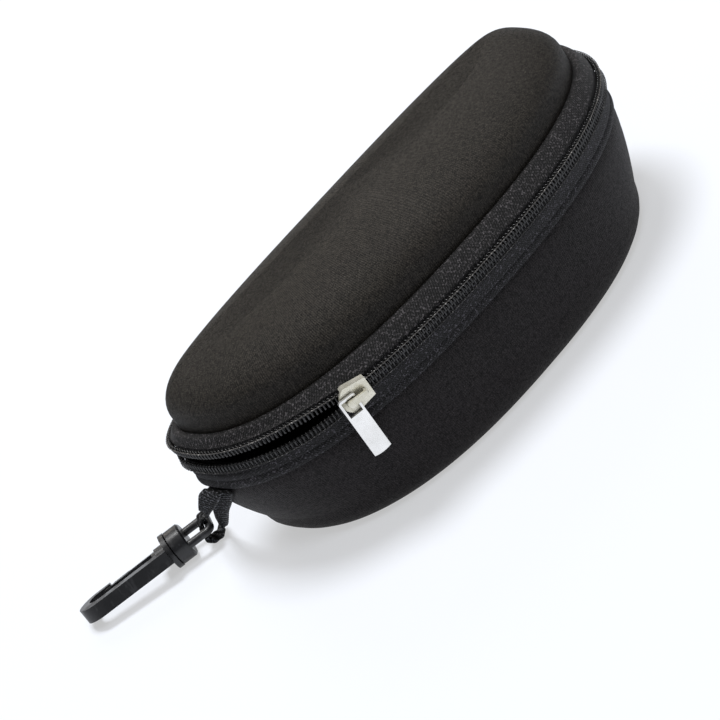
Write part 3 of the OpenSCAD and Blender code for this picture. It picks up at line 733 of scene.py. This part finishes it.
def make_knit():
    """Rows of small V stitches: wale and course are the stitch's width and height in mm."""
    g, s, i, o = group("knit", [("Cloth", "v", None), ("Wale", "f", 0.55), ("Course", "f", 0.42)],
                       [("Height", "f")])
    u, v, _ = s.split(i["Cloth"])
    a = s.maths("DIVIDE", u, i["Wale"])
    tri = s.maths("ABSOLUTE", s.maths("SUBTRACT", s.maths("FRACT", a), 0.5))
    rib = s.maths("SUBTRACT", 1.0, s.maths("POWER", s.maths("MULTIPLY", tri, 2.0), 3.0))
    b = s.maths("ADD", s.maths("DIVIDE", v, i["Course"]), s.maths("MULTIPLY", tri, 1.6))
    loop = s.wave(b)
    s.put(o["Height"], s.maths("MULTIPLY", rib, s.maths("MULTIPLY_ADD", loop, 0.4, 0.6)))
    return g


def make_lint():
    """Sparse pale specks and short hairs of dust."""
    g, s, i, o = group("lint", [("Place", "v", None), ("Amount", "f", 0.5)], [("Mask", "f")])
    v = s.node("ShaderNodeTexVoronoi", feature="F1")
    s.put(v.inputs["Vector"], i["Place"])
    s.put(v.inputs["Scale"], 190.0)
    dot = s.spread(v.outputs["Distance"], 0.1, 0.045)
    pick = s.spread(s.noise(i["Place"], 95.0, 1.0), 0.66, 0.7)
    s.put(o["Mask"], s.maths("MULTIPLY", s.maths("MULTIPLY", dot, pick), i["Amount"]))
    return g


def make_tone():
    """Slow change of shade over cloth or plastic."""
    g, s, i, o = group("tone", [("Place", "v", None), ("Scale", "f", 20.0),
                                ("Dark", "c", None), ("Light", "c", None)], [("Color", "c")])
    fac = s.spread(s.noise(i["Place"], i["Scale"], 3.0, 0.55), 0.3, 0.7)
    s.put(o["Color"], s.mix(fac, i["Dark"], i["Light"]))
    return g


def make_wear():
    """Bright or dull marks: fine scratches along one direction and rubbed patches."""
    g, s, i, o = group("wear", [("Place", "v", None), ("Scale", "f", 300.0)], [("Scratch", "f"), ("Rub", "f")])
    m = s.node("ShaderNodeMapping")
    s.put(m.inputs["Vector"], i["Place"])
    s.put(m.inputs["Scale"], (1.0, 1.0, 0.08))
    s.put(o["Scratch"], s.spread(s.noise(m.outputs[0], s.maths("MULTIPLY", i["Scale"], 4.0), 2.0), 0.56, 0.66))
    s.put(o["Rub"], s.spread(s.noise(i["Place"], i["Scale"], 4.0, 0.6), 0.4, 0.65))
    return g


WEAVE, KNIT, LINT, TONE, WEAR = make_weave(), make_knit(), make_lint(), make_tone(), make_wear()


def material(name):
    """New material with its principled shader and object coordinates."""
    m = bpy.data.materials.new(name)
    m.use_nodes = True
    s = Sockets(m.node_tree)
    shader = m.node_tree.nodes["Principled BSDF"]
    place = s.node("ShaderNodeTexCoord").outputs["Object"]
    return m, s, shader, place


def use(s, g, **ins):
    """A shared effect in a material, with its inputs by name."""
    n = s.node("ShaderNodeGroup", node_tree=g)
    for key, value in ins.items():
        s.put(n.inputs[key], value)
    return n.outputs


def bump(s, shader, height, distance, strength):
    n = s.node("ShaderNodeBump")
    n.inputs["Strength"].default_value = strength
    n.inputs["Distance"].default_value = distance
    s.put(n.inputs["Height"], height)
    s.put(shader.inputs["Normal"], n.outputs[0])


def cloth_place(s):
    return s.node("ShaderNodeAttribute", attribute_name="cloth").outputs["Vector"]


def scaled(colour, k):
    return tuple(c * k for c in colour[:3]) + (1,)


# Reliefs of the materials below are in metres
DUST_ON_KNIT, DUST_ON_WEAVE, SCUFF = srgb(120, 112, 104), srgb(130, 124, 118), srgb(110, 110, 112)


def jersey(name, dark, light, rough=0.6, relief=0.00014):
    """Fine knit heat-moulded over foam: nearly smooth, matt, with a soft sheen and some lint."""
    m, s, shader, place = material(name)
    knit = use(s, KNIT, Cloth=cloth_place(s), Wale=0.7, Course=0.55)
    tone = use(s, TONE, Place=place, Scale=22.0, Dark=dark, Light=light)
    fine = s.noise(place, 1100.0, 3.0, 0.6)
    fuzz = s.noise(place, 2600.0, 2.0, 0.6)
    shade = s.mix(s.spread(knit["Height"], 0.1, 0.9), s.mix(0.5, tone["Color"], scaled(dark, 0.45)),
                  s.mix(0.5, tone["Color"], scaled(light, 1.9)))
    shade = s.mix(s.spread(fine, 0.4, 0.65, 0.0, 0.75), shade, scaled(dark, 0.3))
    shade = s.mix(s.spread(fuzz, 0.5, 0.66, 0.0, 0.7), shade, scaled(light, 3.0))
    specks = use(s, LINT, Place=place, Amount=0.35)
    s.put(shader.inputs["Base Color"], s.mix(specks["Mask"], shade, DUST_ON_KNIT))
    s.put(shader.inputs["Roughness"], s.spread(fine, 0.2, 0.8, rough - 0.06, rough + 0.06))
    bump(s, shader, s.maths("MULTIPLY_ADD", fine, 0.45, knit["Height"]), relief, 0.8)
    shader.inputs["Specular IOR Level"].default_value = 0.16
    shader.inputs["Sheen Weight"].default_value = 0.02
    shader.inputs["Sheen Roughness"].default_value = 0.5
    return m


def woven(name, dark, light, pitch, lean, float_mm, relief, contrast=1.0, sheen=0.08, lint=0.3):
    """Woven tape or webbing: diagonal or straight ribs of twisted thread. Pitch and float are in mm."""
    m, s, shader, place = material(name)
    weave = use(s, WEAVE, Cloth=cloth_place(s), Pitch=pitch, Lean=lean, Float=float_mm)
    fine = s.noise(place, 1500.0, 2.0, 0.6)
    tone = use(s, TONE, Place=place, Scale=60.0, Dark=dark, Light=light)
    lit = scaled(light, 1 + 1.8 * contrast)
    deep = scaled(dark, 1 - 0.75 * contrast)
    shade = s.mix(s.spread(weave["Height"], 0.3, 1.0), deep, s.mix(0.5, tone["Color"], lit))
    shade = s.mix(s.spread(fine, 0.38, 0.6, 0.75, 0.0), shade, deep)
    shade = s.mix(s.spread(fine, 0.55, 0.68, 0.0, 0.9), shade, scaled(lit, 1.5))
    specks = use(s, LINT, Place=place, Amount=lint)
    s.put(shader.inputs["Base Color"], s.mix(specks["Mask"], shade, DUST_ON_WEAVE))
    s.put(shader.inputs["Roughness"], s.spread(fine, 0.3, 0.7, 0.7, 0.9))
    bump(s, shader, s.maths("MULTIPLY_ADD", fine, 0.5, weave["Height"]), relief, 0.8)
    shader.inputs["Specular IOR Level"].default_value = 0.35
    shader.inputs["Sheen Weight"].default_value = sheen
    shader.inputs["Sheen Roughness"].default_value = 0.4
    return m


def plastic(name, dark, light, rough):
    """Injection-moulded black plastic with a faint flow grain and rubbed spots."""
    m, s, shader, place = material(name)
    tone = use(s, TONE, Place=place, Scale=120.0, Dark=dark, Light=light)
    wear = use(s, WEAR, Place=place, Scale=180.0)
    s.put(shader.inputs["Base Color"], s.mix(s.maths("MULTIPLY", wear["Scratch"], 0.12), tone["Color"], SCUFF))
    s.put(shader.inputs["Roughness"], s.spread(wear["Rub"], 0.0, 1.0, rough, rough + 0.14))
    bump(s, shader, s.noise(place, 1050.0, 3.0), 0.00004, 0.5)
    shader.inputs["Specular IOR Level"].default_value = 0.5
    return m


def metal(name, dark, light, rough, metallic, recess_shade=None):
    """Pale plated die casting: soft polish, fine scratches, and painted shade that darkens the recesses."""
    m, s, shader, place = material(name)
    tone = use(s, TONE, Place=place, Scale=240.0, Dark=dark, Light=light)
    wear = use(s, WEAR, Place=place, Scale=320.0)
    shade = s.mix(s.maths("MULTIPLY", wear["Scratch"], 0.25), tone["Color"], light)
    if recess_shade:
        # Painted shade: the colour turns olive where the casting is occluded, standing in for the shadow under
        # the slider's crown
        ao = s.node("ShaderNodeAmbientOcclusion", samples=8)
        ao.inputs["Distance"].default_value = 0.0022
        shade = s.mix(s.spread(ao.outputs["AO"], 0.75, 0.3, 0.0, 0.85), shade, recess_shade)
    s.put(shader.inputs["Base Color"], shade)
    s.put(shader.inputs["Roughness"], s.spread(wear["Rub"], 0.0, 1.0, rough, rough + 0.12))
    bump(s, shader, s.noise(place, 700.0, 2.0), 0.00002, 0.4)
    shader.inputs["Metallic"].default_value = metallic
    return m


# One jersey in two copies: the base's is darkened as painted shade on the wall below the rim, the lid's is the
# lighter one
shaded_base_cloth = jersey("base_jersey_painted_shade", srgb(28, 25, 25), srgb(32, 29, 29))
lid_cloth = jersey("lid_jersey", srgb(33, 30, 27), srgb(40, 37, 33))
plush = jersey("plush_lining", srgb(40, 40, 42), srgb(52, 52, 55), rough=0.95, relief=0.0003)
foam = plastic("moulded_foam", srgb(26, 26, 27), srgb(34, 34, 35), rough=0.9)
high_cloth = woven("upper_tape_weave", srgb(33, 31, 32), srgb(43, 41, 42), pitch=0.8, lean=0.62, float_mm=0.9,
                   relief=0.0002, contrast=1.1, sheen=0.05)
low_cloth = woven("lower_tape_weave", srgb(31, 29, 31), srgb(41, 39, 41), pitch=0.75, lean=-0.8, float_mm=0.7,
                  relief=0.0002, contrast=1.1, sheen=0.05)
hinge_cloth = woven("hinge_weave", srgb(30, 29, 31), srgb(38, 37, 39), pitch=0.85, lean=0.62, float_mm=1.3,
                    relief=0.00016, contrast=0.9)
bind_cloth = woven("binding_weave", srgb(30, 30, 32), srgb(38, 38, 40), pitch=0.7, lean=0.0, float_mm=0.8,
                   relief=0.00012, contrast=0.8)
# The webbing's pale rib colour is partly its weave and partly a painted highlight on the rib tops, lifting the
# strap out of its shade
strap_weave_and_highlight = woven("webbing_weave_and_highlight", srgb(20, 20, 22), srgb(56, 56, 58), pitch=RIB_PITCH, lean=RIB_LEAN,
                    float_mm=1.5, relief=0.0002, contrast=1.25, sheen=0.05, lint=0.2)
coil_plastic = plastic("coil_filament", srgb(22, 22, 22), srgb(34, 33, 33), rough=0.24)
thread = woven("stitch_thread", srgb(60, 58, 57), srgb(84, 82, 80), pitch=0.4, lean=1.0, float_mm=0.4,
               relief=0.00008, contrast=0.5, sheen=0.1, lint=0.0)
# Painted highlight: the upper row's thread is a lighter copy of the lower row's, standing in for the highlight
# along the upper coil's edge
highlit_thread = woven("upper_stitch_painted_highlight", srgb(88, 85, 82), srgb(124, 121, 117), pitch=0.4, lean=1.0,
                      float_mm=0.4, relief=0.00008, contrast=0.3, sheen=0.1, lint=0.0)
hook_plastic = plastic("hook_plastic", srgb(22, 22, 24), srgb(30, 30, 32), rough=0.3)
# The slider's olive colour in its recesses is painted shade under the crown
slider_metal = metal("slider_plate", srgb(214, 209, 188), srgb(238, 234, 220), rough=0.26, metallic=0.6,
                     recess_shade=srgb(92, 86, 58))
pull_metal = metal("pull_plate", srgb(240, 239, 236), srgb(250, 249, 247), rough=0.22, metallic=0.85)


def dress(ob, mat, body, replaced):
    """Material, slot, body and the CAD node that a made piece stands for."""
    ob.data.materials.clear()
    ob.data.materials.append(mat)
    if body:
        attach(ob, body)
    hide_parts(replaced)


dress(base_knit, shaded_base_cloth, "base", "base_cover")
dress(base_core, foam, "base", "base_foam")
dress(base_plush, plush, "base", "base_lining")
dress(base_bind, bind_cloth, "base", "base_binding")
dress(low_tape, low_cloth, "base", "lower_tape")
dress(low_coil, coil_plastic, "base", "lower_coil")
dress(low_stitch, thread, "base", "lower_stitching")
dress(lid_knit, lid_cloth, "lid", "lid_cover")
dress(lid_core, foam, "lid", "lid_foam")
dress(lid_plush, plush, "lid", "lid_lining")
dress(lid_bind, bind_cloth, "lid", "lid_binding")
dress(high_tape, high_cloth, "lid", "upper_tape")
dress(high_coil, coil_plastic, "lid", "upper_coil")
dress(high_stitch, highlit_thread, "lid", "upper_stitching")
dress(back_hinge, hinge_cloth, None, "hinge_strip")
dress(inner_hinge, bind_cloth, None, "hinge_lining")
dress(strap, strap_weave_and_highlight, "strap", "webbing_loop")
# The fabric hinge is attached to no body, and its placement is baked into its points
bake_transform(back_hinge)
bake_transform(inner_hinge)


# Faces that meet at less than FLAT_ANGLE are joined, and edges sharper than EDGE_ANGLE are rounded
FLAT_ANGLE, EDGE_ANGLE, EDGE_SEGMENTS = math.radians(1.2), math.radians(32), 3
# Material and edge radius in millimetres of each CAD node that keeps its own shape
FINISHES = {
    "slider_body": (slider_metal, 0.25),
    "slider_crown": (slider_metal, 0.3),
    "pull_tab": (pull_metal, 0.16),
    "swivel_eye": (hook_plastic, 0.25),
    "hook_body": (hook_plastic, 0.45),
    "hook_gate": (hook_plastic, 0.2),
    "closed_end_stop": (coil_plastic, 0.25),
    "lower_end_stop": (coil_plastic, 0.25),
    "upper_end_stop": (coil_plastic, 0.25),
}


def finish_node(ob, mat, radius):
    """Clean faces, rounded edges and a material on a CAD node."""
    ob.data.materials.clear()
    ob.data.materials.append(mat)
    flat = ob.modifiers.new("flat", "DECIMATE")
    flat.decimate_type = "DISSOLVE"
    flat.angle_limit = FLAT_ANGLE
    edges = ob.modifiers.new("edges", "BEVEL")
    edges.width = radius * MM
    edges.segments = EDGE_SEGMENTS
    edges.limit_method = "ANGLE"
    edges.angle_limit = EDGE_ANGLE
    edges.use_clamp_overlap = True
    edges.harden_normals = False
    ob.data.polygons.foreach_set("use_smooth", [True] * len(ob.data.polygons))
    normals = ob.modifiers.new("normals", "WEIGHTED_NORMAL")
    normals.keep_sharp = False


for node_name, (mat, radius) in FINISHES.items():
    finish_node(nodes[node_name], mat, radius)

# ---------------------------------------------------------------- floor and lights
FLOOR_HALF = 6.0
PAPER = (0.85, 0.9, 1.0, 1)
SKY, SKY_STRENGTH = (0.93, 0.96, 1, 1), 0.18
# Share of plain white in the floor, for the camera and for reflections only
FLOOR_GLOW = 0.5
CASE_MIDDLE = (0, 0, 0.03)


def make_floor():
    """White paper that throws light up at the case and stays near white to the camera."""
    me = bpy.data.meshes.new("floor")
    r = FLOOR_HALF
    me.from_pydata([(-r, -r, 0), (r, -r, 0), (r, r, 0), (-r, r, 0)], [], [(0, 1, 2, 3)])
    ob = bpy.data.objects.new("floor", me)
    bpy.context.collection.objects.link(ob)
    m = bpy.data.materials.new("floor_paper")
    m.use_nodes = True
    s = Sockets(m.node_tree)
    m.node_tree.nodes.clear()
    paper = s.node("ShaderNodeBsdfDiffuse")
    paper.inputs["Color"].default_value = PAPER
    glow = s.node("ShaderNodeEmission")
    glow.inputs["Color"].default_value = (1, 1, 1, 1)
    glow.inputs["Strength"].default_value = 1.0
    path = s.node("ShaderNodeLightPath")
    seen = s.maths("MAXIMUM", path.outputs["Is Camera Ray"],
                   s.maths("MAXIMUM", path.outputs["Is Glossy Ray"], path.outputs["Is Transmission Ray"]))
    blend = s.node("ShaderNodeMixShader")
    s.put(blend.inputs[0], s.maths("MULTIPLY", seen, FLOOR_GLOW))
    s.put(blend.inputs[1], paper.outputs[0])
    s.put(blend.inputs[2], glow.outputs[0])
    out = s.node("ShaderNodeOutputMaterial")
    s.put(out.inputs[0], blend.outputs[0])
    me.materials.append(m)


def area(name, place, size, power, colour=(1, 1, 1)):
    """Round area light that faces the middle of the case."""
    data = bpy.data.lights.new(name, "AREA")
    data.shape = "DISK"
    data.size = size
    data.energy = power
    data.color = colour
    ob = bpy.data.objects.new(name, data)
    ob.location = place
    ob.rotation_mode = "QUATERNION"
    ob.rotation_quaternion = (Vector(CASE_MIDDLE) - Vector(place)).to_track_quat("-Z", "Y")
    bpy.context.collection.objects.link(ob)


def make_world():
    """Faint sky for the case and plain white for the camera."""
    world = bpy.data.worlds.new("studio")
    world.use_nodes = True
    bpy.context.scene.world = world
    s = Sockets(world.node_tree)
    world.node_tree.nodes.clear()
    soft = s.node("ShaderNodeBackground")
    soft.inputs["Color"].default_value = SKY
    soft.inputs["Strength"].default_value = SKY_STRENGTH
    white = s.node("ShaderNodeBackground")
    white.inputs["Strength"].default_value = 1.0
    path = s.node("ShaderNodeLightPath")
    seen = s.maths("MAXIMUM", path.outputs["Is Camera Ray"], path.outputs["Is Transmission Ray"])
    blend = s.node("ShaderNodeMixShader")
    s.put(blend.inputs[0], seen)
    s.put(blend.inputs[1], soft.outputs[0])
    s.put(blend.inputs[2], white.outputs[0])
    out = s.node("ShaderNodeOutputWorld")
    s.put(out.inputs[0], blend.outputs[0])


make_floor()
area("key_light", (0.1, 0.32, 1.85), size=0.8, power=29)
area("back_light", (0.62, 1.35, 0.9), size=0.9, power=5, colour=(1, 0.93, 0.84))
area("front_light", (-0.2, -0.9, 1.7), size=0.7, power=6.5)
make_world()
bpy.context.scene.view_settings.view_transform = "Standard"
